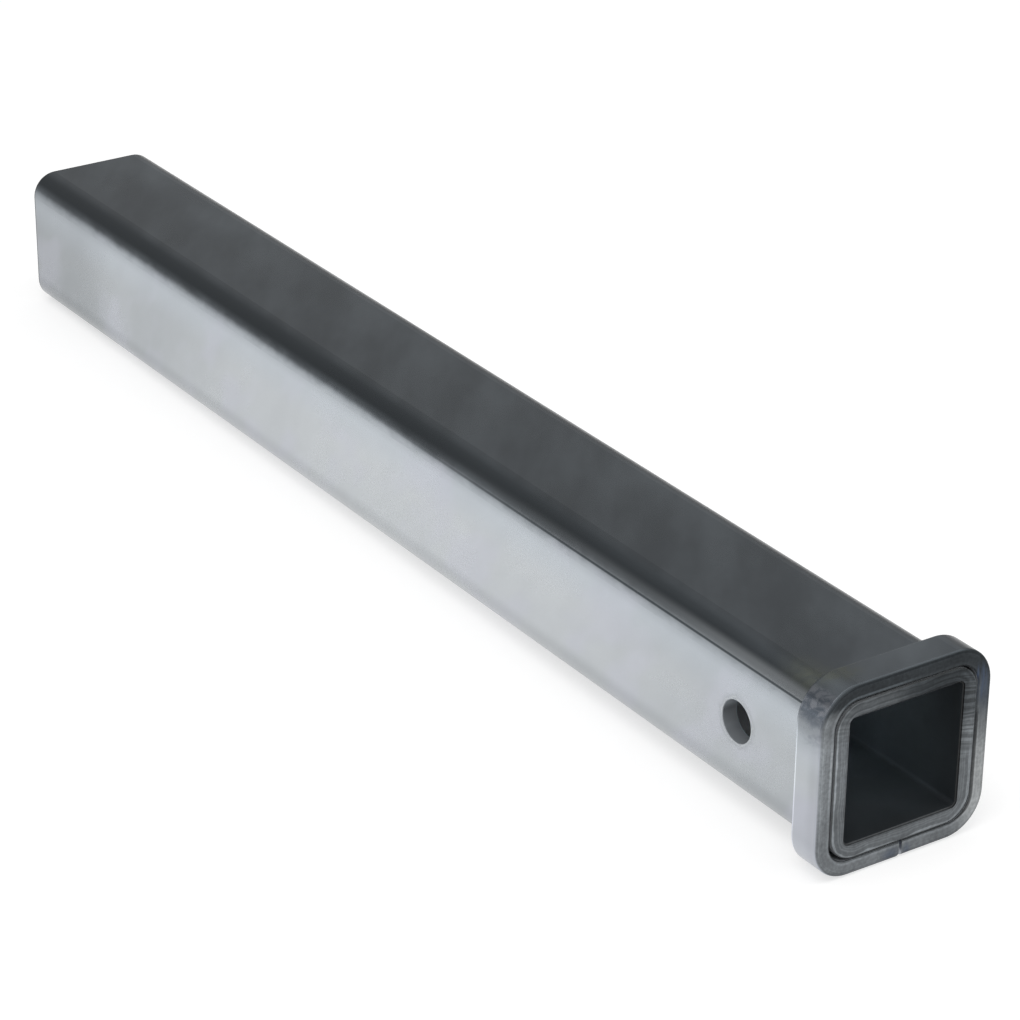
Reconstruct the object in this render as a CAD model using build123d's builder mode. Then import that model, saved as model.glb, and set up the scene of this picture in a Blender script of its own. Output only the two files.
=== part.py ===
from build123d import *
import os

# Hitch receiver tube with a welded collar
#
# A length of square steel tube takes a trailer hitch shank in its mouth. A hitch pin passes through both of
# its side walls and through the shank. A flat bar, bent round the mouth and welded behind, keeps the mouth
# from spreading under load.
#
# The tube lies along X with its mouth towards +X. Z is up and the hitch pin lies along Y. The origin is the
# middle of the pin hole, on the tube's own axis. Left and right are as seen by someone who faces the mouth,
# so left is -Y. All sizes are in millimetres.

# Tube
tube_width = 63.5
tube_wall = 6.35
tube_length = 609.6
tube_corner_radius = 11.0
socket_corner_radius = 2.0
mouth_bevel = 0.6
sawn_edge_break = 0.4

# Hitch pin hole, through both side walls
pin_diameter = 15.875
pin_clearance = 0.725
pin_setback = 56.0
pin_hole_edge_break = 0.2

# Flat bar that is bent into the collar
bar_thickness = 6.35
bar_width = 14.5
bar_outer_edge_radius = 1.4
bar_inner_edge_radius = 0.8

# Bends of the collar, each measured on the inside of the bar
collar_clearance = 0.3
upper_bend_radius = 9.8
left_lower_bend_radius = 8.8
right_lower_bend_radius = 9.8

# Open butt seam under the tube, where the ends of the bar meet. The left end hangs lower than the right one,
# and the shear has cropped its lower edge.
seam_offset = 0.7
seam_gap = 1.2
left_end_drop = 0.25
left_end_crop = 1.4

# Fillet weld behind the collar. It stops short of the bar's outer face.
weld_edge_margin = 1.65
weld_crown = 0.5

# Places along X that the pieces share
mouth_x = pin_setback
collar_back_x = mouth_x - bar_width

tube_half = tube_width / 2
socket_width = tube_width - 2 * tube_wall
pin_hole_radius = (pin_diameter + pin_clearance) / 2
collar_inner_half = tube_half + collar_clearance
bar_centre = collar_inner_half + bar_thickness / 2
weld_leg = collar_clearance + bar_thickness - weld_edge_margin


# Tube: one square section, sawn at both ends and drilled across
with BuildPart() as receiver_tube:
    with BuildSketch(Plane.YZ.offset(mouth_x)):
        RectangleRounded(tube_width, tube_width, tube_corner_radius)
        RectangleRounded(socket_width, socket_width, socket_corner_radius, mode=Mode.SUBTRACT)
    extrude(amount=-tube_length)

    rear_face, mouth_face = receiver_tube.faces().filter_by(Axis.X).sort_by(Axis.X)
    chamfer(rear_face.edges() + mouth_face.outer_wire().edges(), length=sawn_edge_break)
    mouth_face = receiver_tube.faces().sort_by(Axis.X)[-1]
    chamfer(mouth_face.inner_wires()[0].edges(), length=mouth_bevel)

    with Locations(Plane.XZ.offset(tube_half)):
        Hole(radius=pin_hole_radius, depth=tube_width)
    pin_hole_rims = receiver_tube.edges().filter_by(GeomType.CIRCLE).filter_by(Plane.XZ).group_by(Axis.Y)
    chamfer(pin_hole_rims[0] + pin_hole_rims[-1], length=pin_hole_edge_break)
receiver_tube.part.label = "receiver_tube"


# Collar: the bar's own section follows its centre line round the tube, from one end of the bar to the other
with BuildPart() as reinforcing_collar:
    bar_middle = Plane.YZ.offset(mouth_x - bar_width / 2)
    right_end = (seam_offset + seam_gap / 2, -bar_centre)
    left_end = (seam_offset - seam_gap / 2, -bar_centre - left_end_drop)
    with BuildLine(bar_middle) as bar_path:
        FilletPolyline(
            right_end,
            (bar_centre, -bar_centre),
            (bar_centre, bar_centre),
            (-bar_centre, bar_centre),
            (-bar_centre, -bar_centre),
            left_end,
            radius=[
                right_lower_bend_radius + bar_thickness / 2,
                upper_bend_radius + bar_thickness / 2,
                upper_bend_radius + bar_thickness / 2,
                left_lower_bend_radius + bar_thickness / 2,
            ],
        )
    path_wire = bar_path.wires()[0]
    with BuildSketch(Plane(path_wire @ 0, x_dir=(1, 0, 0), z_dir=path_wire % 0)) as bar_section:
        Rectangle(bar_width, bar_thickness)
        fillet(bar_section.vertices().group_by(Axis.Y)[-1], radius=bar_outer_edge_radius)
        fillet(bar_section.vertices().group_by(Axis.Y)[0], radius=bar_inner_edge_radius)
    sweep(path=path_wire)

    lower_edge = -bar_thickness / 2
    with BuildSketch(Plane(path_wire @ 1, x_dir=path_wire % 1, z_dir=(1, 0, 0))):
        with BuildLine():
            Polyline(
                (0, lower_edge),
                (0, lower_edge + left_end_crop),
                (-left_end_crop, lower_edge),
                close=True,
            )
        make_face()
    extrude(amount=bar_width / 2, both=True, mode=Mode.SUBTRACT)
reinforcing_collar.part.label = "reinforcing_collar"


# Weld: a convex bead in the corner between the collar's back and the tube, all the way round
with BuildPart() as collar_weld:
    with BuildLine(Plane.YZ.offset(collar_back_x)) as weld_path:
        FilletPolyline(
            (tube_half, -tube_half),
            (tube_half, tube_half),
            (-tube_half, tube_half),
            (-tube_half, -tube_half),
            radius=tube_corner_radius,
            close=True,
        )
    weld_root = weld_path.wires()[0]
    with BuildSketch(Plane(weld_root @ 0, x_dir=(1, 0, 0), z_dir=weld_root % 0)):
        with BuildLine():
            crown_reach = weld_leg / 2 + weld_crown / 2**0.5
            Line((0, 0), (-weld_leg, 0))
            ThreePointArc((-weld_leg, 0), (-crown_reach, crown_reach), (0, weld_leg))
            Line((0, weld_leg), (0, 0))
        make_face()
    sweep(path=weld_root)
collar_weld.part.label = "collar_weld"


os.makedirs("parts", exist_ok=True)
for piece in (receiver_tube.part, reinforcing_collar.part, collar_weld.part):
    export_step(piece, f"parts/{piece.label}.step")
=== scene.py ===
import math

import bmesh
import bpy
from bpy.props import FloatProperty, FloatVectorProperty, IntProperty, PointerProperty
from bpy.types import Operator, Panel, PropertyGroup
from mathutils import Matrix, Vector, noise


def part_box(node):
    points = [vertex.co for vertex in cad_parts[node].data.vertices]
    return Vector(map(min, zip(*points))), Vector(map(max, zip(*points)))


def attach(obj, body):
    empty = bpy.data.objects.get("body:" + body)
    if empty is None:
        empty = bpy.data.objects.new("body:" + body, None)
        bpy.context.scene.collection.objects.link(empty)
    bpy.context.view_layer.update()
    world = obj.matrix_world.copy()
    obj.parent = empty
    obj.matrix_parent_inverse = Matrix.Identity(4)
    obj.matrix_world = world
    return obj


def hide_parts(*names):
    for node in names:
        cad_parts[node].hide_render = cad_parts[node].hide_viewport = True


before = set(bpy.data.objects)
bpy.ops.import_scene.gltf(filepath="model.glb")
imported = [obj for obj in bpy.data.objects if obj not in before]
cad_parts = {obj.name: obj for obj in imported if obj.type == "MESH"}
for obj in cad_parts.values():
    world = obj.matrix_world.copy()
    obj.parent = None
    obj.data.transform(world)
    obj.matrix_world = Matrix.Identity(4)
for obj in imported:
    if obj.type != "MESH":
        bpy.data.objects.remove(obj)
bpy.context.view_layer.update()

bl_info = {
    "name": "Hitch receiver tube",
    "version": (1, 0, 0),
    "blender": (4, 5, 0),
    "location": "View3D > Sidebar > Receiver tube",
    "description": "Steel finishes, weld bead and studio for a hitch receiver tube with a welded collar",
    "category": "Add Mesh",
}

# The tube lies along X with its mouth towards +X, Z is up, and the origin is the middle of the pin hole. All
# lengths are in metres. Left and right are as seen by someone who faces the mouth, so left is -Y.
TUBE_LOW, TUBE_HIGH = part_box("receiver_tube")
COLLAR_LOW, COLLAR_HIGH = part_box("reinforcing_collar")
MOUTH_X = TUBE_HIGH.x
SAWN_END_X = TUBE_LOW.x
COLLAR_BACK_X = COLLAR_LOW.x
TUBE_HALF = TUBE_HIGH.z
TUBE_CORNER = 0.011
TUBE_WALL = 0.00635
SAWN_EDGE_BREAK = 0.0004
SOCKET_HALF = TUBE_HALF - TUBE_WALL
SOCKET_CORNER = 0.002
PIN_HOLE_RADIUS = 0.0083
BAR_THICKNESS = 0.00635
BAR_EDGE_RADIUS = 0.0014
COLLAR_INNER_HALF = COLLAR_HIGH.z - BAR_THICKNESS
BEND = 0.0098
LOWER_LEFT_BEND = 0.0088

# Spacing of the tool marks
SAW_MARKS = 0.0016
COARSE_SAW_MARKS = 0.0022
ROLL_MARKS = 0.0013
HEAT_STREAKS = 0.0012

BEAD_BURIED = 0.0004  # depth of the bead's hidden edges in the tube and the collar
BEAD_HIGHEST_LIFT = 0.00008  # over the swept section, so that the bead keeps to the part's size
RIPPLE_LAG = 1.1  # ripples by which a crest's middle trails its ends

FLOOR_HALF = 30.0
FLOOR_CLEARANCE = 0.0001


def shade(red, green, blue):
    """A colour as a display shows it, 0 to 255, in linear light"""
    values = [channel / 255 for channel in (red, green, blue)]
    return tuple(v / 12.92 if v <= 0.04045 else ((v + 0.055) / 1.055) ** 2.4 for v in values)


def steel_colour(name, description, red, green, blue):
    """A colour that a user can change"""
    return FloatVectorProperty(
        name=name, description=description, subtype="COLOR", default=shade(red, green, blue))


class Finish:
    """A procedural steel finish: one Principled shader and the nodes that feed it"""

    def __init__(self, name):
        self.material = bpy.data.materials.new(name)
        self.material.use_nodes = True
        self.tree = self.material.node_tree
        self.shader = self.tree.nodes["Principled BSDF"]
        self.shader.inputs["Metallic"].default_value = 1.0
        coordinates = self.tree.nodes.new("ShaderNodeTexCoord")
        self.place = coordinates.outputs["Object"]
        self.x, self.y, self.z = self.split(self.place)
        self.face_x, self.face_y, self.face_z = self.split(coordinates.outputs["Normal"])

    def connect(self, value, socket):
        """A value is another node's output, or a plain number, vector or colour"""
        if isinstance(value, bpy.types.NodeSocket):
            self.tree.links.new(value, socket)
        elif socket.type == "RGBA":
            socket.default_value = (*value, 1.0)
        else:
            socket.default_value = value

    def split(self, vector):
        node = self.tree.nodes.new("ShaderNodeSeparateXYZ")
        self.connect(vector, node.inputs[0])
        return node.outputs

    def calc(self, operation, *values):
        node = self.tree.nodes.new("ShaderNodeMath")
        node.operation = operation
        for value, socket in zip(values, node.inputs):
            self.connect(value, socket)
        return node.outputs[0]

    def add(self, first, second):
        return self.calc("ADD", first, second)

    def less(self, first, second):
        """The first value less the second"""
        return self.calc("SUBTRACT", first, second)

    def opposite(self, share):
        """0 where the share is 1, and 1 where it is 0"""
        return self.less(1.0, share)

    def part(self, share, amount):
        """That amount of a share"""
        return self.calc("MULTIPLY", share, amount)

    def both(self, *shares):
        """The product of several shares, so that all of them must hold"""
        product = shares[0]
        for share in shares[1:]:
            product = self.calc("MULTIPLY", product, share)
        return product

    def either(self, *shares):
        """The largest of several shares"""
        largest = shares[0]
        for share in shares[1:]:
            largest = self.calc("MAXIMUM", largest, share)
        return largest

    def ramp(self, value, start, end, low=0.0, high=1.0):
        """Goes smoothly from low to high as value goes from start to end"""
        node = self.tree.nodes.new("ShaderNodeMapRange")
        node.interpolation_type = "SMOOTHSTEP"
        for number, socket in zip((value, start, end, low, high), node.inputs):
            self.connect(number, socket)
        return node.outputs[0]

    def band(self, value, middle, half_width, softness):
        """1 where value lies within half_width of middle, with soft edges outside it"""
        away = self.calc("ABSOLUTE", self.less(value, middle))
        return self.ramp(away, half_width + softness, half_width)

    def spot(self, middle, radii, softness=1.0):
        """1 at the middle of an ellipsoid and 0 outside it"""
        node = self.tree.nodes.new("ShaderNodeMapping")
        node.inputs["Scale"].default_value = [1 / radius for radius in radii]
        node.inputs["Location"].default_value = [-m / radius for m, radius in zip(middle, radii)]
        self.connect(self.place, node.inputs["Vector"])
        length = self.tree.nodes.new("ShaderNodeVectorMath")
        length.operation = "LENGTH"
        self.connect(node.outputs[0], length.inputs[0])
        return self.ramp(length.outputs["Value"], 1.0, 1.0 - softness)

    def patches(self, size, stretch=(1, 1, 1), turn=(0, 0, 0), detail=2.0, shift=(0, 0, 0), distortion=0.0):
        """Cloudy noise from 0 to 1. Its patches are about size across, times stretch along each axis."""
        turned = self.tree.nodes.new("ShaderNodeMapping")
        turned.inputs["Rotation"].default_value = [math.radians(angle) for angle in turn]
        turned.inputs["Location"].default_value = shift
        self.connect(self.place, turned.inputs["Vector"])
        scaled = self.tree.nodes.new("ShaderNodeMapping")
        scaled.inputs["Scale"].default_value = [1 / (size * s) for s in stretch]
        self.connect(turned.outputs[0], scaled.inputs["Vector"])
        node = self.tree.nodes.new("ShaderNodeTexNoise")
        node.inputs["Scale"].default_value = 1.0
        node.inputs["Detail"].default_value = detail
        node.inputs["Roughness"].default_value = 0.55
        node.inputs["Distortion"].default_value = distortion
        self.connect(scaled.outputs[0], node.inputs["Vector"])
        return node.outputs[0]

    def lines(self, value, spacing, waver, sharpness=(0.35, 0.75)):
        """Tool marks of that spacing across value, 0 to 1, shifted along by waver"""
        turns = self.add(self.calc("MULTIPLY", value, 1 / spacing), waver)
        node = self.tree.nodes.new("ShaderNodeTexNoise")
        node.noise_dimensions = "1D"
        node.inputs["Scale"].default_value = 1.0
        node.inputs["Detail"].default_value = 1.5
        self.connect(turns, node.inputs["W"])
        return self.ramp(node.outputs[0], *sharpness)

    def outline(self, half, radius):
        """Distance outside a square with rounded corners, negative within it"""
        core = self.less(half, radius)
        y = self.less(self.calc("ABSOLUTE", self.y), core)
        z = self.less(self.calc("ABSOLUTE", self.z), core)
        past_y = self.calc("MAXIMUM", y, 0.0)
        past_z = self.calc("MAXIMUM", z, 0.0)
        square = self.add(self.both(past_y, past_y), self.both(past_z, past_z))
        flat = self.calc("MINIMUM", self.calc("MAXIMUM", y, z), 0.0)
        return self.less(self.add(self.calc("SQRT", square), flat), radius)

    def mix(self, share, first, second):
        node = self.tree.nodes.new("ShaderNodeMix")
        node.data_type = "RGBA"
        self.connect(share, node.inputs[0])
        self.connect(first, node.inputs[6])
        self.connect(second, node.inputs[7])
        return node.outputs[2]

    def brighten(self, colour, amount):
        """The colour times amount"""
        node = self.tree.nodes.new("ShaderNodeVectorMath")
        node.operation = "SCALE"
        self.connect(colour, node.inputs[0])
        self.connect(amount, node.inputs["Scale"])
        return node.outputs[0]

    def lift(self, colour, share, amount):
        """The colour times amount where the share is 1, and as it was where it is 0"""
        return self.brighten(colour, self.ramp(share, 0.0, 1.0, 1.0, amount))

    def vary(self, colour, noise_value, low, high):
        """The colour times low in the dark patches of some noise, and times high in its light ones"""
        return self.brighten(colour, self.ramp(noise_value, 0.3, 0.7, low, high))

    def complete(self, colour, roughness, relief, relief_depth, bare=None):
        """Sets the colour, the roughness, the fine relief, 0 to 1 high, and where the metal is bare"""
        self.connect(colour, self.shader.inputs["Base Color"])
        if bare is not None:
            self.connect(bare, self.shader.inputs["Metallic"])
        self.connect(roughness, self.shader.inputs["Roughness"])
        bump = self.tree.nodes.new("ShaderNodeBump")
        bump.inputs["Distance"].default_value = relief_depth
        self.connect(relief, bump.inputs["Height"])
        self.connect(bump.outputs[0], self.shader.inputs["Normal"])
        return self.material


class SteelColours(PropertyGroup):
    side: steel_colour("Rubbed side", "Pale steel of the sides", 192, 196, 199)
    side_shadow: steel_colour("Side clouds", "Darker clouds on the sides", 159, 164, 168)
    side_blue: steel_colour("Upper side", "Bluer steel near the sides' upper edges", 183, 190, 197)
    side_violet: steel_colour("Violet oxide", "Faint violet oxide in patches of the sides", 192, 194, 205)
    # The top's dark colour: mill scale, darkened further with painted shade
    scale: steel_colour("Mill scale", "Dark scale on the top", 105, 111, 116)
    # Painted shade along the rounded corners, over the mill scale
    corner_shade: steel_colour("Corner scale", "Thicker scale along the corners", 78, 83, 87)
    # Painted reflection in a strip along the upper left corner
    strip_reflection: steel_colour("Rubbed strip", "Rubbed scale along the upper left corner", 170, 175, 179)
    roll_line: steel_colour("Roll line", "Dark line that the rolls left on the corner", 66, 72, 76)
    cutting_oil: steel_colour("Cutting oil", "Oil film round the pin hole", 124, 130, 132)
    gap_dust: steel_colour("Gap", "Dusty scale in the gap between the tube and the collar", 150, 154, 158)
    drilled: steel_colour("Drilled wall", "Wall of the pin hole", 110, 114, 118)
    socket: steel_colour("Socket", "Scale on the inside of the tube", 122, 134, 142)
    # Painted light: paler steel further inside, so that more light bounces about in the tube
    socket_painted_light: steel_colour("Clean socket", "Cleaner steel further inside the tube", 236, 238, 240)
    sawn: steel_colour("Sawn end", "Saw-cut steel of the tube's ends", 108, 112, 115)
    sawn_dark: steel_colour("Sawn end, scaled", "Darkest part of the sawn end", 58, 62, 65)
    bar_edge: steel_colour("Bar edge", "Rolled edge of the collar's flat bar", 116, 120, 123)
    bar_edge_rubbed: steel_colour("Bar edge, rubbed", "Rubbed part of the bar's edge", 162, 165, 166)
    bar_edge_dark: steel_colour("Bar edge, scaled", "Darkest part of the bar's edge", 52, 56, 59)
    bent_lilac: steel_colour("Bent scale", "Paler, violet scale on the upper left bend", 140, 144, 151)
    broken_scale: steel_colour("Broken scale", "Bluish scale, broken where the bar was bent", 102, 109, 118)
    heat_blue: steel_colour("Heat tint", "Blue oxide near the weld", 72, 84, 104)
    oil_olive: steel_colour("Oil stain", "Olive oil film on the scale", 115, 119, 109)
    weld: steel_colour("Weld metal", "Bare weld bead", 150, 152, 155)
    weld_valley: steel_colour("Weld valleys", "Oxide between the ripples", 84, 84, 88)
    weld_straw: steel_colour("Weld straw", "Straw-coloured oxide in patches of the bead", 150, 138, 120)


class WeldSizes(PropertyGroup):
    ripple_pitch: FloatProperty(
        name="Ripple pitch", description="Distance from one ripple to the next", default=0.0018,
        unit="LENGTH")
    ripple_height: FloatProperty(
        name="Ripple height", description="Height of a ripple over its valley", default=0.00032,
        unit="LENGTH")
    leg: FloatProperty(
        name="Leg", description="Reach of the bead along the tube and up the collar", default=0.0049,
        unit="LENGTH")
    crown: FloatProperty(
        name="Crown", description="Rise of the bead's middle over a flat face", default=0.0004, unit="LENGTH")
    wander: FloatProperty(
        name="Wander", description="How far the bead's toes stray from a straight line", default=0.00035,
        unit="LENGTH")
    steps_in_ripple: IntProperty(
        name="Steps in a ripple", description="Rings of the mesh in each ripple", default=4, min=3, max=8)


class StudioSettings(PropertyGroup):
    floor_colour: FloatVectorProperty(
        name="Floor", description="Pale floor", subtype="COLOR", default=(0.45, 0.45, 0.45))
    floor_glow: FloatProperty(
        name="Floor glow", description="Light that the floor adds where it is seen, to read as white",
        default=0.62)
    low_light: FloatProperty(
        name="Low light", description="Strength of the room's walls", default=0.38)
    overhead_light: FloatProperty(
        name="Overhead light", description="Strength of the room's ceiling", default=1.0)
    walls_end: FloatProperty(
        name="Top of the walls", description="Height at which the ceiling starts to fade in, 0 to 1",
        default=0.62)
    ceiling_start: FloatProperty(
        name="Edge of the ceiling", description="Height from which the room is all ceiling, 0 to 1",
        default=0.95)
    lamp_size: FloatProperty(
        name="Lamp size", description="Side of each soft lamp", default=1.5, unit="LENGTH")
    lamp_target: FloatVectorProperty(
        name="Lamp target", description="Where the lamps point", subtype="TRANSLATION", unit="LENGTH",
        default=(-0.2, 0.0, 0.0))
    key_place: FloatVectorProperty(
        name="Key lamp's place", description="Where the key lamp hangs", subtype="TRANSLATION",
        unit="LENGTH", default=(0.3, -1.0, 2.0))
    key_power: FloatProperty(
        name="Key lamp", description="Power of the soft key lamp", default=22.0, unit="POWER")
    fill_place: FloatVectorProperty(
        name="Fill lamp's place", description="Where the fill lamp hangs", subtype="TRANSLATION",
        unit="LENGTH", default=(0.7, 1.6, 1.8))
    fill_power: FloatProperty(
        name="Fill lamp", description="Power of the soft fill lamp", default=10.0, unit="POWER")
    camera_place: FloatVectorProperty(
        name="Camera", description="Where the camera stands", subtype="TRANSLATION", unit="LENGTH",
        default=(0.878142, -0.721382, 0.630757))
    camera_turn: FloatVectorProperty(
        name="Camera rotation", description="How the camera is turned", subtype="EULER", unit="ROTATION",
        default=[math.radians(angle) for angle in (63.8443, -0.4999, 56.3259)])
    lens: FloatProperty(
        name="Lens", description="Focal length on a 36 mm sensor", default=125.345, unit="CAMERA")


def scaled_steel(steel, colours):
    """Pale sides and dark top of hot-rolled steel, the top darkened by mill scale and by painted shade: its
    colour, roughness and grain
    """
    x, y, z = steel.x, steel.y, steel.z

    # Sides: rubbed pale between darker clouds, with faint violet patches, darker towards the tube's two ends
    clouds = steel.patches(0.07, stretch=(1.5, 1.0, 0.8), turn=(0, 30, 0), detail=2.5, distortion=0.3)
    mottle = steel.patches(0.01, stretch=(1.8, 1.0, 0.9), turn=(0, 40, 0), detail=3.5, shift=(0.3, 0, 0))
    violet = steel.patches(0.03, stretch=(1.6, 1.0, 0.8), turn=(0, 40, 0), shift=(0.7, 0, 0.2))
    grain = steel.patches(0.0011, detail=3.0)
    darker_end = steel.add(steel.ramp(x, -0.3, -0.5, 0.0, 0.5), steel.ramp(x, -0.46, -0.51, 0.0, 0.2))
    darker_mouth = steel.ramp(x, -0.1, 0.02, 0.0, 0.45)
    pale = steel.less(steel.ramp(clouds, 0.3, 0.6, 0.78, 1.0), steel.add(darker_end, darker_mouth))
    side = steel.mix(pale, colours.side_shadow, colours.side)
    side = steel.mix(steel.ramp(z, 0.0, 0.02, 0.0, 0.7), side, colours.side_blue)
    side = steel.mix(steel.ramp(violet, 0.46, 0.66, 0.0, 0.4), side, colours.side_violet)
    side = steel.brighten(side, steel.ramp(x, -0.47, -0.512, 1.0, 0.84))
    side = steel.brighten(side, steel.ramp(mottle, 0.25, 0.75, 0.982, 1.018))
    side = steel.vary(side, grain, 0.993, 1.007)
    # Painted shade where the sides start to round into the corners
    side = steel.brighten(side, steel.ramp(steel.calc("ABSOLUTE", z), 0.0165, 0.0225, 1.0, 0.85))

    # Top: dark mill scale with painted shade over it and slanting streaks, paler at the far right, with a
    # painted highlight where it turns down on the right and painted shade further round that corner
    streaks = steel.patches(0.032, stretch=(2.2, 0.8, 1.0), turn=(0, 0, 38), detail=3.0, shift=(0, 0.2, 0))
    speck = steel.patches(0.0022, detail=3.0, shift=(0, 0, 0.4))
    top = steel.vary(colours.scale, streaks, 0.8, 1.2)
    top = steel.vary(top, speck, 0.99, 1.01)
    top = steel.brighten(top, steel.ramp(y, -0.02, 0.024, 0.97, 1.12))
    far_right = steel.both(steel.ramp(y, -0.006, 0.018), steel.ramp(x, -0.36, -0.5))
    top = steel.lift(top, far_right, 1.2)
    # Painted highlight where the top starts to turn down on the right, and painted shade further round that
    # corner
    lit_right_turn = steel.band(steel.face_y, 0.07, 0.03, 0.09)
    top = steel.brighten(top, steel.add(1.0, steel.part(lit_right_turn, 0.3)))
    # Painted shade on the upper corner's rounding, less of it near the mouth
    corner = steel.both(steel.band(steel.face_z, 0.78, 0.1, 0.2), steel.ramp(x, -0.02, 0.03, 1.0, 0.6))
    top = steel.mix(corner, top, colours.corner_shade)
    top = steel.brighten(top, steel.ramp(steel.face_y, 0.12, 0.4, 1.0, 0.5))

    # The scale ends in a ragged edge where the top turns down into the sides
    ragged = steel.patches(0.004, stretch=(2.0, 1.0, 1.0), detail=3.0)
    stray = steel.add(steel.ramp(mottle, 0.2, 0.8, -0.03, 0.03), steel.ramp(ragged, 0.3, 0.7, -0.04, 0.04))
    edge_of_scale = steel.add(steel.face_z, steel.both(stray, steel.ramp(steel.face_z, 0.0, 0.1)))
    # Faces that look up take the dark top colour, which is partly painted shade
    colour = steel.mix(steel.ramp(edge_of_scale, -0.03, 0.55), side, top)
    roughness = steel.add(steel.ramp(clouds, 0.3, 0.7, 0.3, 0.25), steel.ramp(grain, 0.3, 0.7, 0.0, 0.02))
    return colour, roughness, grain


def oil_stain(steel, colour, colours, middle, radii, blotch_size, thin_below):
    """Lays a blotchy olive film of oil, thin where its noise falls to thin_below"""
    blotches = steel.ramp(steel.patches(blotch_size, detail=4.0, distortion=0.5), thin_below, 0.65, 0.4, 1.0)
    stain = steel.both(steel.spot(middle, radii), blotches)
    return steel.mix(steel.part(stain, 0.8), colour, colours.oil_olive)


def rolled_corner(steel, colour, colours):
    """Roll line along the upper left corner and a strip of painted reflection above it, both fading away from
    the mouth
    """
    left = steel.ramp(steel.face_y, -0.3, -0.6)
    near_mouth = steel.both(steel.ramp(steel.x, -0.07, 0.02, 0.35, 1.0), steel.ramp(steel.x, -0.24, -0.05))
    # Painted reflection in a strip above the roll line
    strip = steel.both(steel.band(steel.face_z, 0.48, 0.08, 0.22), left, near_mouth)
    colour = steel.mix(steel.part(strip, 0.8), colour, colours.strip_reflection)
    line = steel.both(steel.band(steel.face_z, 0.335, 0.018, 0.04), left, steel.ramp(steel.x, -0.3, -0.1))
    return steel.mix(steel.part(line, 0.9), colour, colours.roll_line)


def pin_hole(steel, colour, colours):
    """Smeared oil and a thin burr round the pin hole, and its drilled wall with painted light rising up it:
    the colour, the wall's share
    """
    from_pin = steel.calc("SQRT", steel.add(steel.both(steel.x, steel.x), steel.both(steel.z, steel.z)))
    smear = steel.add(from_pin, steel.ramp(steel.patches(0.003, detail=3.0), 0.3, 0.7, -0.0007, 0.0007))
    halo = steel.ramp(smear, PIN_HOLE_RADIUS + 0.0034, PIN_HOLE_RADIUS + 0.0006, 0.0, 0.32)
    colour = steel.mix(halo, colour, colours.cutting_oil)
    burr = steel.band(smear, PIN_HOLE_RADIUS + 0.0009, 0.0001, 0.0004)
    colour = steel.mix(steel.part(burr, 0.6), colour, colours.side)
    drilled = steel.ramp(from_pin, PIN_HOLE_RADIUS + 0.00025, PIN_HOLE_RADIUS + 0.0001)
    # Painted light on the drilled wall, rising towards its top
    painted_light_by_height = steel.add(steel.ramp(steel.z, -0.0066, -0.0045, 1.1, 1.3),
                          steel.ramp(steel.z, 0.0005, 0.005, 0.0, 1.8))
    return steel.mix(drilled, colour, steel.brighten(colours.drilled, painted_light_by_height)), drilled


def socket_steel(steel, colours):
    """Inside of the tube: painted shade near the mouth and along its floor, and painted light further in"""
    # Painted shade, deepest at the mouth and along the socket's floor
    depth = steel.both(steel.ramp(steel.x, MOUTH_X - 0.05, MOUTH_X, 1.25, 0.13),
                       steel.ramp(steel.z, -0.0245, -0.0252, 1.0, 0.75))
    uneven = steel.ramp(steel.patches(0.02, detail=4.0), 0.35, 0.7, 0.9, 1.08)
    socket = steel.brighten(colours.socket, steel.both(uneven, depth))
    # Painted light: the steel turns paler further in
    return steel.mix(steel.ramp(steel.x, -0.004, -0.034), socket, colours.socket_painted_light)


def sawn_steel(steel, colours, across):
    """Colour and marks of a sawn end. The marks run along each wall, but across the sides near the top."""
    y, z = steel.y, steel.z
    waver = steel.patches(0.012, detail=2.0)
    fleck = steel.patches(0.0015, detail=3.0, shift=(0, 0.5, 0))
    along_wall = steel.lines(across, SAW_MARKS, steel.part(waver, 1.6), (0.36, 0.68))
    slanted = steel.add(z, steel.part(y, 0.19))
    across_wall = steel.lines(slanted, SAW_MARKS, steel.part(waver, 1.2), (0.36, 0.66))
    right_upper = steel.both(steel.ramp(y, 0.0225, 0.0262), steel.ramp(z, -0.012, 0.004))
    left_upper = steel.both(steel.ramp(y, -0.0245, -0.0262), steel.ramp(z, 0.012, 0.021, 0.0, 0.4))
    crossed = steel.either(right_upper, left_upper)
    marks = steel.add(steel.both(across_wall, crossed), steel.both(along_wall, steel.opposite(crossed)))

    # Along the top wall the saw also left coarse marks
    turns = steel.add(steel.part(across, 2 * math.pi / COARSE_SAW_MARKS), steel.part(waver, 3.5))
    coarse = steel.both(steel.ramp(z, 0.0235, 0.0255), steel.calc("SINE", turns), 0.22)

    right_dark = steel.both(steel.ramp(y, 0.018, 0.024), steel.ramp(z, 0.005, 0.015, 0.0, 0.75))
    dark = steel.either(steel.spot((MOUTH_X, 0.016, 0.033), (0.02, 0.036, 0.026), 0.7), right_dark,
                        steel.ramp(z, 0.0225, 0.027, 0.0, 0.4))
    sawn = steel.mix(dark, colours.sawn, colours.sawn_dark)
    sawn = steel.brighten(sawn, steel.ramp(marks, 0.0, 1.0, 0.72, 1.3))
    sawn = steel.vary(sawn, fleck, 0.88, 1.12)
    sawn = steel.vary(sawn, waver, 0.92, 1.08)
    sawn = steel.brighten(sawn, steel.add(1.0, coarse))
    sawn = steel.brighten(sawn, steel.ramp(across, -0.006, -0.0008, 0.86, 1.2))
    rubbed = steel.spot((MOUTH_X, -0.0286, 0.004), (0.02, 0.01, 0.022), 0.7)
    sawn = steel.lift(sawn, rubbed, 1.25)
    sawn = steel.brighten(sawn, steel.ramp(z, -0.024, -0.028, 1.0, 1.1))
    return sawn, marks


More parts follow.
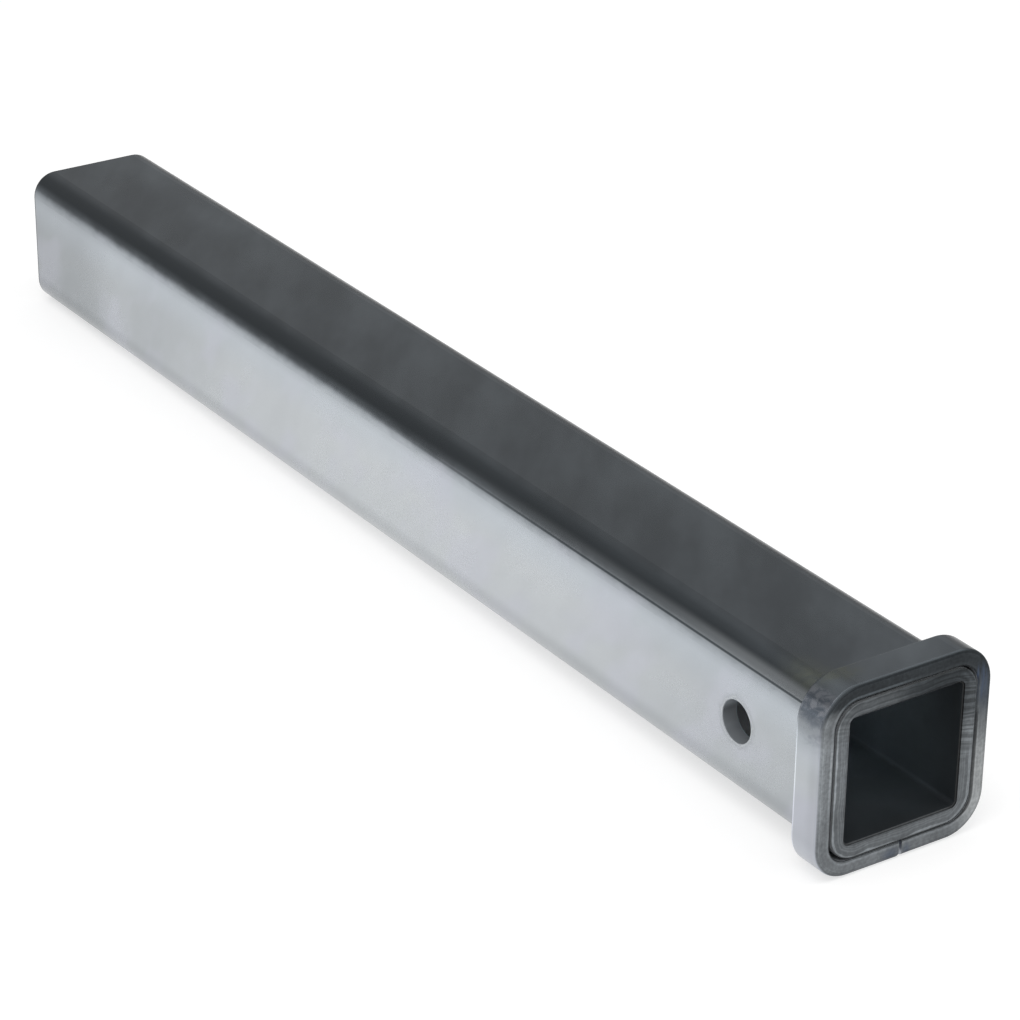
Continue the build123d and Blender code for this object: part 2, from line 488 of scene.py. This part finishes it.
def sawn_rims(steel, colour, sawn, across, facing, end_face, undrilled):
    """Rims of a sawn end: a painted highlight line inside the outer one, painted shade on the outer one
    beside the gap, and painted shade on the inner one, most at the bottom and right
    """
    y, z = steel.y, steel.z
    # Painted highlight on a line just inside the outer rim, brighter at the lower left
    rim_highlight = steel.both(end_face, steel.band(across, -0.0008, 0.0002, 0.0004))
    beside = steel.both(steel.ramp(y, -0.02, -0.026), steel.ramp(z, -0.028, -0.022))
    colour = steel.mix(rim_highlight, colour, steel.brighten(sawn, steel.ramp(beside, 0.0, 1.0, 0.9, 1.12)))
    # Painted shade on the outer rim beside the gap to the collar, lighter on the right
    edge = steel.both(steel.band(facing, 0.65, 0.2, 0.08), undrilled)
    outer_edge_shade = steel.both(steel.either(edge, steel.ramp(across, -0.0006, -0.0004)),
                            steel.ramp(facing, 0.4, 0.5), undrilled, steel.ramp(across, -0.004, -0.003))
    outer_shade_level = steel.add(steel.ramp(y, 0.026, 0.029, 0.5, 1.3), steel.ramp(z, -0.026, -0.029, 0.0, -0.2))
    colour = steel.mix(outer_edge_shade, colour, steel.brighten(sawn, outer_shade_level))
    # Painted shade on the inner rim, most at the bottom and right
    inner_edge_shade = steel.both(edge, steel.ramp(across, -0.003, -0.004))
    inner_shade_level = steel.calc("MINIMUM", steel.ramp(y, 0.018, 0.025, 0.8, 0.15),
                            steel.ramp(z, -0.018, -0.025, 0.8, 0.45))
    return steel.mix(inner_edge_shade, colour, steel.brighten(sawn, inner_shade_level))


def tube_finish(colours):
    """Steel of the tube: rolled outside, oiled in the corner by the collar, drilled, sawn at both ends"""
    steel = Finish("tube_steel")
    colour, roughness, grain = scaled_steel(steel, colours)
    across = steel.outline(TUBE_HALF, TUBE_CORNER)
    facing = steel.calc("ABSOLUTE", steel.face_x)

    colour = oil_stain(steel, colour, colours, (0.036, -0.024, 0.032), (0.026, 0.014, 0.012), 0.006, 0.3)
    colour = rolled_corner(steel, colour, colours)
    colour, drilled = pin_hole(steel, colour, colours)
    undrilled = steel.opposite(drilled)
    end_face = steel.both(steel.ramp(facing, 0.85, 0.95), undrilled)

    # Socket, and the dusty gap under the collar
    inside = steel.ramp(steel.outline(SOCKET_HALF, SOCKET_CORNER), 0.0004, 0.0002)
    colour = steel.mix(inside, colour, socket_steel(steel, colours))
    under_collar = steel.both(steel.ramp(steel.x, COLLAR_BACK_X - 0.001, COLLAR_BACK_X),
                              steel.ramp(across, -0.0006, -0.0004), steel.opposite(end_face))
    colour = steel.mix(under_collar, colour, colours.gap_dust)

    # Sawn ends, with a dark line round the far one
    sawn, marks = sawn_steel(steel, colours, across)
    colour = steel.mix(end_face, colour, sawn)
    colour = sawn_rims(steel, colour, sawn, across, facing, end_face, undrilled)
    far_edge = steel.ramp(steel.x, SAWN_END_X + 0.0014, SAWN_END_X + 0.0007, 0.0, 0.75)
    colour = steel.mix(steel.both(far_edge, steel.opposite(end_face)), colour, colours.sawn_dark)

    dusty = steel.either(inside, drilled, under_collar)
    broken_edge = steel.both(steel.band(facing, 0.6, 0.3, 0.1), undrilled)
    roughness = steel.either(roughness, steel.part(steel.either(end_face, dusty), 0.5),
                             steel.part(broken_edge, 0.65))
    relief = steel.add(steel.part(grain, 0.08), steel.part(steel.both(marks, end_face), 0.8))
    return steel.complete(colour, roughness, relief, 0.00006, steel.opposite(dusty))


def bar_outside(steel, colour, colours, left):
    """Outer face of the bar: sides darker upwards and along their front edge, top paler than the tube's"""
    y, z = steel.y, steel.z
    upward = steel.ramp(steel.face_z, 0.5, 0.9)
    front_edge = steel.both(steel.ramp(z, 0.02, 0.0), steel.ramp(steel.x, MOUTH_X - 0.008, MOUTH_X - 0.003))
    darker_up_and_forward = steel.less(steel.ramp(z, -0.024, 0.022, 1.09, 0.84), steel.part(front_edge, 0.15))
    banded_by_height = steel.less(steel.ramp(z, -0.0215, -0.027, 1.0, 1.15),
                         steel.part(steel.band(z, -0.0135, 0.003, 0.006), 0.1))
    banded_by_height = steel.add(banded_by_height, steel.part(steel.band(z, 0.005, 0.004, 0.009), 0.15))
    paler = steel.add(steel.ramp(y, -0.012, 0.004, 1.04, 1.18),
                      steel.part(steel.spot((0.05, -0.028, 0.037), (0.02, 0.008, 0.007)), 0.35))
    light = steel.add(steel.both(darker_up_and_forward, banded_by_height, steel.opposite(upward)), steel.both(paler, upward))
    colour = steel.brighten(colour, light)
    violet = steel.both(left, steel.ramp(z, -0.002, -0.01, 0.0, 0.45))
    return steel.mix(violet, colour, colours.side_violet)


def bent_corner(steel, colour, colours, left):
    """Bluish scale on the bar's upper left bend, soiled below it, with a painted highlight where the bend
    turns up and painted shade where it turns out: the colour and how far it is broken up
    """
    broken = steel.patches(0.003, stretch=(1.5, 1.0, 0.8), turn=(0, 20, 0), detail=4.0, distortion=0.6)
    bent = steel.both(steel.spot((0.048, -0.0355, 0.0315), (0.02, 0.0095, 0.0095), 0.7),
                      steel.ramp(steel.y, -0.0275, -0.0325))
    lilac = steel.mix(steel.ramp(broken, 0.38, 0.62), colours.broken_scale, colours.bent_lilac)
    colour = steel.mix(bent, colour, lilac)
    dark_patch = steel.both(steel.spot((0.048, -0.0378, 0.0268), (0.0085, 0.006, 0.0042), 0.8),
                            steel.ramp(broken, 0.25, 0.6, 1.0, 0.55))
    colour = steel.mix(steel.part(dark_patch, 0.8), colour, colours.broken_scale)
    soiled = steel.both(steel.spot((0.051, -0.038, 0.021), (0.0125, 0.01, 0.008), 0.9),
                        steel.ramp(broken, 0.6, 0.3, 0.25, 1.0))
    colour = steel.mix(steel.part(soiled, 0.5), colour, colours.broken_scale)
    # Painted highlight where the bend turns up, and painted shade where it turns out
    on_bend = steel.both(left, steel.ramp(steel.z, 0.018, 0.022))
    lit_bend_face = steel.both(steel.band(steel.face_z, 0.49, 0.06, 0.13), on_bend)
    shaded_bend_face = steel.both(steel.band(steel.face_z, 0.13, 0.12, 0.12), on_bend)
    light = steel.less(steel.ramp(lit_bend_face, 0.0, 1.0, 1.0, 1.6), steel.part(shaded_bend_face, 0.14))
    return steel.brighten(colour, light), steel.both(broken, bent)


def bar_front(steel, colours, across, on_left):
    """Rolled edge of the bar: dark on top and at the upper right, rubbed at the left and lower right, with
    painted shade on its outer rim at the right and bottom
    """
    y, z = steel.y, steel.z
    waver = steel.patches(0.014, detail=3.0)
    fleck = steel.patches(0.0014, detail=3.0, shift=(0, 0.5, 0))
    marks = steel.lines(across, ROLL_MARKS, steel.part(waver, 1.4))
    right_dark = steel.both(steel.ramp(y, 0.028, 0.034), steel.ramp(z, 0.002, 0.018, 0.0, 0.75))
    wavy_height = steel.add(z, steel.ramp(waver, 0.3, 0.7, -0.001, 0.001))
    dark = steel.either(steel.spot((MOUTH_X, 0.022, 0.036), (0.02, 0.05, 0.028), 0.7), right_dark,
                        steel.ramp(wavy_height, 0.026, 0.032))
    edge = steel.mix(dark, colours.bar_edge, colours.bar_edge_dark)
    rubbed = steel.spot((MOUTH_X, 0.037, -0.019), (0.02, 0.016, 0.032), 0.9)
    edge = steel.mix(rubbed, edge, colours.bar_edge_rubbed)
    edge = steel.vary(edge, waver, 0.88, 1.14)
    edge = steel.brighten(edge, steel.ramp(marks, 0.0, 1.0, 0.86, 1.14))
    edge = steel.vary(edge, fleck, 0.86, 1.14)
    edge = steel.lift(edge, on_left, 1.25)
    outward = steel.both(steel.ramp(y, -0.03, -0.034), steel.ramp(z, -0.02, 0.004, 0.3, 1.0),
                         steel.ramp(across, 0.002, 0.0055, 0.0, 0.25))
    edge = steel.brighten(edge, steel.add(outward, 1.0))
    low_left = steel.both(steel.ramp(z, -0.031, -0.033), steel.ramp(y, 0.0, -0.012))
    edge = steel.lift(edge, low_left, 1.2)

    # Heat from the weld tinted the bar on both sides of the seam and at the upper right
    blue = steel.either(
        steel.spot((MOUTH_X, -0.004, -0.036), (0.02, 0.006, 0.004)),
        steel.spot((MOUTH_X, 0.0035, -0.0365), (0.02, 0.003, 0.004)),
        steel.part(steel.spot((MOUTH_X, 0.036, 0.02), (0.02, 0.005, 0.014)), 0.6))
    edge = steel.mix(steel.part(blue, 0.5), edge, colours.heat_blue)
    streaks = steel.both(steel.spot((MOUTH_X, 0.033, 0.023), (0.02, 0.004, 0.01), 0.6),
                         steel.lines(y, HEAT_STREAKS, steel.part(waver, 2.0)))
    edge = steel.mix(steel.part(streaks, 0.8), edge, colours.heat_blue)
    # Painted shade on the outer rim at the right and along the bottom
    far_rim_shade = steel.both(steel.ramp(across, 0.0041, 0.005),
                         steel.either(steel.ramp(y, 0.03, 0.034), steel.ramp(z, -0.031, -0.034)))
    return steel.lift(edge, far_rim_shade, 0.72)


def bar_roundings(steel, colour, colours, across, facing):
    """Rounded edges of the bar: painted shade along the top, most at the upper left bend, and a painted
    highlight on the left
    """
    rounded = steel.band(facing, 0.6, 0.3, 0.08)
    # Painted shade on the roundings along the top, strongest at the upper left bend
    along_top = steel.both(rounded, steel.ramp(across, 0.0045, 0.0055), steel.ramp(steel.z, 0.026, 0.032))
    at_bend = steel.both(steel.ramp(steel.y, -0.022, -0.028), steel.ramp(steel.z, 0.024, 0.03))
    scaled = steel.both(along_top, steel.add(steel.part(at_bend, 0.6), 0.25))
    colour = steel.mix(scaled, colour, colours.corner_shade)
    # Painted highlight on the left side's rounding
    lit_left_rounding = steel.both(rounded, steel.ramp(steel.face_y, -0.3, -0.5), steel.ramp(steel.z, 0.026, 0.02))
    return steel.lift(colour, lit_left_rounding, 1.2)


def bar_rims(steel, colour, edge, across, facing, on_left):
    """Painted highlight on the back edge of the bar's sides, and the gap's rim: painted shade, with a painted
    highlight line beside it
    """
    y, z = steel.y, steel.z
    sideways = steel.ramp(steel.calc("ABSOLUTE", steel.face_z), 0.5, 0.3)
    # Painted highlight along the rounded back edge
    back_edge_highlight = steel.both(sideways, steel.ramp(steel.x, COLLAR_BACK_X + 0.0017, COLLAR_BACK_X + 0.0013),
                           steel.ramp(across, 0.004, 0.0055), steel.ramp(z, 0.027, 0.02),
                           steel.ramp(z, -0.03, 0.0, 0.5, 1.0))
    colour = steel.mix(steel.part(back_edge_highlight, 0.9), colour, steel.brighten(colour, 1.65))

    # Painted highlight on a line beside the gap, strongest on top and on the left
    inner_rim_highlight = steel.both(steel.band(across, 0.0014, 0.0002, 0.0004), steel.ramp(facing, 0.8, 0.95))
    on_top = steel.both(steel.ramp(z, 0.028, 0.031), steel.ramp(y, 0.014, -0.014))
    rubbed = steel.add(steel.ramp(on_top, 0.0, 1.0, 1.03, 2.4), steel.part(on_left, 0.27))
    colour = steel.mix(inner_rim_highlight, colour, steel.brighten(edge, rubbed))

    # The painted shade beside the gap is wider on the right and narrower along the bottom, and lighter at the
    # upper right
    wider = steel.less(steel.ramp(y, 0.028, 0.032, 0.0, 0.0006), steel.ramp(z, -0.03, -0.032, 0.0, 0.0003))
    from_gap = steel.less(across, wider)
    gap_shade = steel.both(steel.ramp(from_gap, 0.0008, 0.0004), steel.ramp(facing, 0.1, 0.5))
    dusty = steel.both(steel.ramp(y, 0.004, 0.016), steel.ramp(z, 0.008, 0.016))
    return steel.mix(gap_shade, colour, steel.brighten(edge, steel.ramp(dusty, 0.0, 1.0, 0.35, 1.0)))


def collar_finish(colours):
    """Steel of the collar: a flat bar with rolled edges, its scale broken at the upper left bend"""
    steel = Finish("collar_steel")
    colour, roughness, grain = scaled_steel(steel, colours)
    lower_left = steel.both(steel.calc("LESS_THAN", steel.z, 0.0), steel.calc("LESS_THAN", steel.y, 0.0))
    bend = steel.less(BEND, steel.part(lower_left, BEND - LOWER_LEFT_BEND))
    across = steel.outline(COLLAR_INNER_HALF, bend)
    facing = steel.calc("ABSOLUTE", steel.face_x)
    left = steel.ramp(steel.face_y, -0.25, -0.7)
    on_left = steel.spot((MOUTH_X, -0.0365, 0.004), (0.02, 0.007, 0.024), 0.6)

    colour = bar_outside(steel, colour, colours, left)
    colour, broken_up = bent_corner(steel, colour, colours, left)
    colour = oil_stain(steel, colour, colours, (0.044, -0.023, 0.038), (0.011, 0.013, 0.01), 0.005, 0.35)
    edge = bar_front(steel, colours, across, on_left)
    edge_share = steel.ramp(facing, 0.4, 0.9)
    colour = steel.mix(edge_share, colour, edge)
    colour = bar_roundings(steel, colour, colours, across, facing)
    colour = bar_rims(steel, colour, edge, across, facing, on_left)

    # The inside of the bar is dusty
    inward = steel.add(steel.both(steel.face_y, steel.y), steel.both(steel.face_z, steel.z))
    hidden = steel.both(steel.ramp(inward, -0.008, -0.016), steel.ramp(across, 0.002, 0.001),
                        steel.ramp(facing, 0.5, 0.3))
    colour = steel.mix(hidden, colour, colours.gap_dust)

    roughness = steel.either(roughness, steel.part(steel.either(edge_share, hidden), 0.42),
                             steel.part(steel.band(facing, 0.6, 0.35, 0.08), 0.62))
    relief = steel.add(steel.part(grain, 0.2), steel.part(broken_up, 0.5))
    return steel.complete(colour, roughness, relief, 0.00007, steel.opposite(hidden))


def weld_finish(colours):
    """Steel of the bead: bare crests, oxide in the valleys and straw-coloured patches"""
    steel = Finish("weld_metal")
    ripple = steel.tree.nodes.new("ShaderNodeAttribute")
    ripple.attribute_name = "ripple"
    height = ripple.outputs["Fac"]
    clouds = steel.patches(0.012, detail=3.0)
    grain = steel.patches(0.0007, detail=3.0)
    colour = steel.mix(steel.ramp(height, 0.15, 0.8), colours.weld_valley, colours.weld)
    colour = steel.vary(colour, clouds, 0.82, 1.12)
    straw = steel.ramp(steel.patches(0.03, shift=(0.1, 0.2, 0.3)), 0.5, 0.75, 0.0, 0.35)
    colour = steel.mix(straw, colour, colours.weld_straw)
    roughness = steel.ramp(height, 0.1, 0.9, 0.5, 0.3)
    return steel.complete(colour, roughness, grain, 0.00005)


def add_piece(name, shape, material):
    """Makes an object of the bmesh, at the origin, with one material"""
    mesh = bpy.data.meshes.new(name)
    shape.to_mesh(mesh)
    shape.free()
    mesh.materials.append(material)
    piece = bpy.data.objects.new(name, mesh)
    bpy.context.scene.collection.objects.link(piece)
    return piece


def bead_profile(sizes, points=11):
    """Curved face of the bead from its toe on the tube: X from the collar's back, and height over the tube"""
    middle = sizes.leg / 2 + sizes.crown / math.sqrt(2)
    toe, crown, top = Vector((-sizes.leg, 0.0)), Vector((-middle, middle)), Vector((0.0, sizes.leg))
    bend = 2 * crown - (toe + top) / 2
    profile = []
    for i in range(points):
        t = i / (points - 1)
        profile.append((1 - t) ** 2 * toe + 2 * t * (1 - t) * bend + t ** 2 * top)
    return profile


def lay_bead(sizes):
    """A fillet bead all round the tube, swept from one section and raised into ripples"""
    shape = bmesh.new()
    straight = 2 * (TUBE_HALF - TUBE_CORNER)
    arc = (TUBE_CORNER + sizes.leg / 2) * math.pi / 2
    step = sizes.ripple_pitch / sizes.steps_in_ripple
    profile = bead_profile(sizes)
    section = [profile[0] + Vector((0, -BEAD_BURIED)), *profile, profile[-1] + Vector((BEAD_BURIED, 0)),
               Vector((BEAD_BURIED, -BEAD_BURIED))]
    ring = [shape.verts.new((COLLAR_BACK_X + x, -straight / 2, -TUBE_HALF - out)) for x, out in section]
    edges = [shape.edges.new((a, b)) for a, b in zip(ring, ring[1:] + ring[:1])]
    count = round(straight / step)
    for corner in range(4):
        turn = Matrix.Rotation(corner * math.pi / 2, 3, "X")
        along = turn @ Vector((0, 1, 0))
        for _ in range(count):
            made = bmesh.ops.extrude_edge_only(shape, edges=edges)["geom"]
            moved = [v for v in made if isinstance(v, bmesh.types.BMVert)]
            edges = [e for e in made if isinstance(e, bmesh.types.BMEdge)]
            edges = [e for e in edges if all(v in moved for v in e.verts)]
            bmesh.ops.translate(shape, verts=moved, vec=along * straight / count)
        centre = turn @ Vector((0, straight / 2, -straight / 2))
        made = bmesh.ops.spin(
            shape, geom=edges, cent=(COLLAR_BACK_X, centre.y, centre.z), axis=(1, 0, 0), dvec=(0, 0, 0),
            angle=math.pi / 2, steps=round(arc / step), use_merge=False, use_duplicate=False)["geom_last"]
        edges = [e for e in made if isinstance(e, bmesh.types.BMEdge)]
    bmesh.ops.remove_doubles(shape, verts=shape.verts, dist=0.00001)
    bmesh.ops.recalc_face_normals(shape, faces=shape.faces)
    raise_ripples(shape, sizes, straight, arc)
    return shape


def raise_ripples(shape, sizes, straight, arc):
    """Moves the bead's skin into overlapping ripples, and keeps each point's height for the finish"""
    height_layer = shape.verts.layers.float.new("ripple")
    half = straight / 2
    quarter = math.pi / 2
    for vert in shape.verts:
        # Nearest point of the square within the tube's corner radii, and the way out from it, both as (Y, Z)
        core = Vector((max(-half, min(half, vert.co.y)), max(-half, min(half, vert.co.z))))
        out = Vector((vert.co.y, vert.co.z)) - core
        reach = out.length - TUBE_CORNER
        back = COLLAR_BACK_X - vert.co.x
        if reach < -0.0001 or back < -0.0001:
            continue  # a hidden edge

        # Distance along the bead, which starts at the left end of the tube's underside and first runs right
        turned = (math.atan2(out.y, out.x) + quarter) / quarter
        side = round(turned) % 4
        run = (core.x, core.y, -core.x, -core.y)[side] + half
        distance = side * (straight + arc) + run + (turned - round(turned)) * arc

        # Share is 0 at the toe on the tube and 1 at the top on the collar
        share = math.atan2(reach, back) / quarter
        middle = math.sin(math.pi * min(1.0, max(0.0, share)))
        lag = RIPPLE_LAG * (1 - (2 * share - 1) ** 2)
        uneven = 0.35 * noise.noise(Vector((distance / 0.006, 0.0, 3.0)))
        phase = distance / sizes.ripple_pitch - lag + uneven
        crest = math.sin(math.pi * (phase - math.floor(phase)) ** 0.7)
        height = crest * (0.35 + 0.65 * middle)
        wander = sizes.wander * noise.noise(Vector((distance / 0.009, share * 1.5, 9.0)))
        lift = sizes.ripple_height * (height - 0.75) * middle + wander * (0.3 + 0.7 * (1 - middle))
        lift = min(lift, BEAD_HIGHEST_LIFT)
        outward = out.normalized() * math.sin(share * quarter) * lift
        vert.co.x -= math.cos(share * quarter) * lift
        vert.co.y += outward.x
        vert.co.z += outward.y
        vert[height_layer] = height


def seen_rays(tree):
    """1 for the rays by which the camera, metal and glass see a surface, and 0 for the light that it gives"""
    rays = tree.nodes.new("ShaderNodeLightPath")
    seen = rays.outputs["Is Camera Ray"]
    for kind in ("Is Glossy Ray", "Is Transmission Ray"):
        larger = tree.nodes.new("ShaderNodeMath")
        larger.operation = "MAXIMUM"
        tree.links.new(seen, larger.inputs[0])
        tree.links.new(rays.outputs[kind], larger.inputs[1])
        seen = larger.outputs[0]
    return seen


def floor_paint(settings):
    """Matt paint that reads as white where it is seen, and still takes the part's shadow"""
    material = bpy.data.materials.new("pale_floor")
    material.use_nodes = True
    tree = material.node_tree
    tree.nodes.clear()
    output = tree.nodes.new("ShaderNodeOutputMaterial")
    paint = tree.nodes.new("ShaderNodeBsdfDiffuse")
    paint.inputs["Color"].default_value = (*settings.floor_colour, 1.0)
    glow = tree.nodes.new("ShaderNodeEmission")
    strength = tree.nodes.new("ShaderNodeMath")
    strength.operation = "MULTIPLY"
    strength.inputs[1].default_value = settings.floor_glow
    tree.links.new(seen_rays(tree), strength.inputs[0])
    tree.links.new(strength.outputs[0], glow.inputs["Strength"])
    painted = tree.nodes.new("ShaderNodeAddShader")
    tree.links.new(paint.outputs[0], painted.inputs[0])
    tree.links.new(glow.outputs[0], painted.inputs[1])

    # From below, the camera looks through the floor at the underside of the part
    clear = tree.nodes.new("ShaderNodeBsdfTransparent")
    geometry = tree.nodes.new("ShaderNodeNewGeometry")
    one_sided = tree.nodes.new("ShaderNodeMixShader")
    tree.links.new(geometry.outputs["Backfacing"], one_sided.inputs[0])
    tree.links.new(painted.outputs[0], one_sided.inputs[1])
    tree.links.new(clear.outputs[0], one_sided.inputs[2])
    tree.links.new(one_sided.outputs[0], output.inputs["Surface"])
    return material


def lay_floor(settings):
    """A wide pale floor. It tilts a little, because the part stands on its collar and on its sawn end."""
    shape = bmesh.new()
    bmesh.ops.create_grid(shape, x_segments=1, y_segments=1, size=FLOOR_HALF)
    collar_foot = Vector((COLLAR_LOW.x + BAR_EDGE_RADIUS, 0.0, COLLAR_LOW.z))
    tube_foot = Vector((SAWN_END_X + SAWN_EDGE_BREAK, 0.0, -TUBE_HALF))
    slope = math.atan2(tube_foot.z - collar_foot.z, collar_foot.x - tube_foot.x)
    below = Matrix.Translation(collar_foot - Vector((0, 0, FLOOR_CLEARANCE)))
    bmesh.ops.transform(shape, matrix=below @ Matrix.Rotation(slope, 4, "Y"), verts=shape.verts)
    floor = add_piece("floor", shape, floor_paint(settings))


def light_room(context, settings):
    """A soft room: dim walls and a bright ceiling"""
    world = bpy.data.worlds.new("studio_room")
    context.scene.world = world
    world.use_nodes = True
    tree = world.node_tree
    coordinates = tree.nodes.new("ShaderNodeTexCoord")
    split = tree.nodes.new("ShaderNodeSeparateXYZ")
    tree.links.new(coordinates.outputs["Generated"], split.inputs[0])
    height = tree.nodes.new("ShaderNodeMapRange")
    height.interpolation_type = "SMOOTHSTEP"
    heights = (settings.walls_end, settings.ceiling_start, settings.low_light, settings.overhead_light)
    for value, socket in zip(heights, height.inputs[1:]):
        socket.default_value = value
    tree.links.new(split.outputs["Z"], height.inputs["Value"])
    background = tree.nodes["Background"]
    background.inputs["Color"].default_value = (1.0, 1.0, 1.0, 1.0)
    tree.links.new(height.outputs[0], background.inputs["Strength"])


def hang_lamp(context, settings, name, place, power):
    """A large soft lamp, turned to the part"""
    light = bpy.data.lights.new(name, "AREA")
    light.size = settings.lamp_size
    light.energy = power
    lamp = bpy.data.objects.new(name, light)
    lamp.location = place
    aim = Vector(settings.lamp_target) - Vector(place)
    lamp.rotation_euler = aim.to_track_quat("-Z", "Y").to_euler()
    context.scene.collection.objects.link(lamp)


def set_camera(context, settings):
    lens = bpy.data.cameras.new("camera")
    lens.lens = settings.lens
    camera = bpy.data.objects.new("camera", lens)
    camera.location = settings.camera_place
    camera.rotation_euler = settings.camera_turn
    context.scene.collection.objects.link(camera)
    context.scene.camera = camera


class RECEIVER_OT_dress_tube(Operator):
    """Gives the tube its scaled, rubbed and sawn steel"""

    bl_idname = "receiver.dress_tube"
    bl_label = "Finish the tube"

    def execute(self, context):
        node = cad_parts["receiver_tube"]
        node.material_slots[0].material = tube_finish(context.scene.receiver_colours)
        return {"FINISHED"}


class RECEIVER_OT_dress_collar(Operator):
    """Gives the collar its bent flat bar's steel"""

    bl_idname = "receiver.dress_collar"
    bl_label = "Finish the collar"

    def execute(self, context):
        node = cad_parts["reinforcing_collar"]
        node.material_slots[0].material = collar_finish(context.scene.receiver_colours)
        return {"FINISHED"}


class RECEIVER_OT_lay_weld(Operator):
    """Lays the rippled fillet bead behind the collar"""

    bl_idname = "receiver.lay_weld"
    bl_label = "Lay the weld"

    def execute(self, context):
        shape = lay_bead(context.scene.receiver_weld)
        for face in shape.faces:
            face.smooth = True
        bead = add_piece("weld_bead", shape, weld_finish(context.scene.receiver_colours))
        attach(bead, "root")
        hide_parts("collar_weld")
        return {"FINISHED"}


class RECEIVER_OT_set_stage(Operator):
    """Sets the floor, the soft light and the camera"""

    bl_idname = "receiver.set_stage"
    bl_label = "Set the stage"

    def execute(self, context):
        settings = context.scene.receiver_studio
        lay_floor(settings)
        light_room(context, settings)
        hang_lamp(context, settings, "key_lamp", settings.key_place, settings.key_power)
        hang_lamp(context, settings, "fill_lamp", settings.fill_place, settings.fill_power)
        set_camera(context, settings)
        context.scene.view_settings.view_transform = "Standard"
        return {"FINISHED"}


class RECEIVER_PT_panel(Panel):
    """Lists the steps that dress the receiver tube"""

    bl_idname = "RECEIVER_PT_panel"
    bl_label = "Receiver tube"
    bl_space_type = "VIEW_3D"
    bl_region_type = "UI"
    bl_category = "Receiver tube"

    def draw(self, context):
        for operator in OPERATORS:
            self.layout.operator(operator.bl_idname)
        for name in SETTINGS:
            group = getattr(context.scene, name)
            box = self.layout.box()
            for key in group.bl_rna.properties.keys():
                if key not in ("rna_type", "name"):
                    box.prop(group, key)


OPERATORS = (
    RECEIVER_OT_dress_tube,
    RECEIVER_OT_dress_collar,
    RECEIVER_OT_lay_weld,
    RECEIVER_OT_set_stage,
)
SETTINGS = {
    "receiver_colours": SteelColours,
    "receiver_weld": WeldSizes,
    "receiver_studio": StudioSettings,
}


def register():
    for settings in SETTINGS.values():
        bpy.utils.register_class(settings)
    for name, settings in SETTINGS.items():
        setattr(bpy.types.Scene, name, PointerProperty(type=settings))
    for operator in OPERATORS:
        bpy.utils.register_class(operator)
    bpy.utils.register_class(RECEIVER_PT_panel)


def unregister():
    bpy.utils.unregister_class(RECEIVER_PT_panel)
    for operator in reversed(OPERATORS):
        bpy.utils.unregister_class(operator)
    for name, settings in SETTINGS.items():
        delattr(bpy.types.Scene, name)
        bpy.utils.unregister_class(settings)


def main():
    register()
    bpy.ops.receiver.dress_tube()
    bpy.ops.receiver.dress_collar()
    bpy.ops.receiver.lay_weld()
    bpy.ops.receiver.set_stage()


if __name__ == "__main__":
    main()
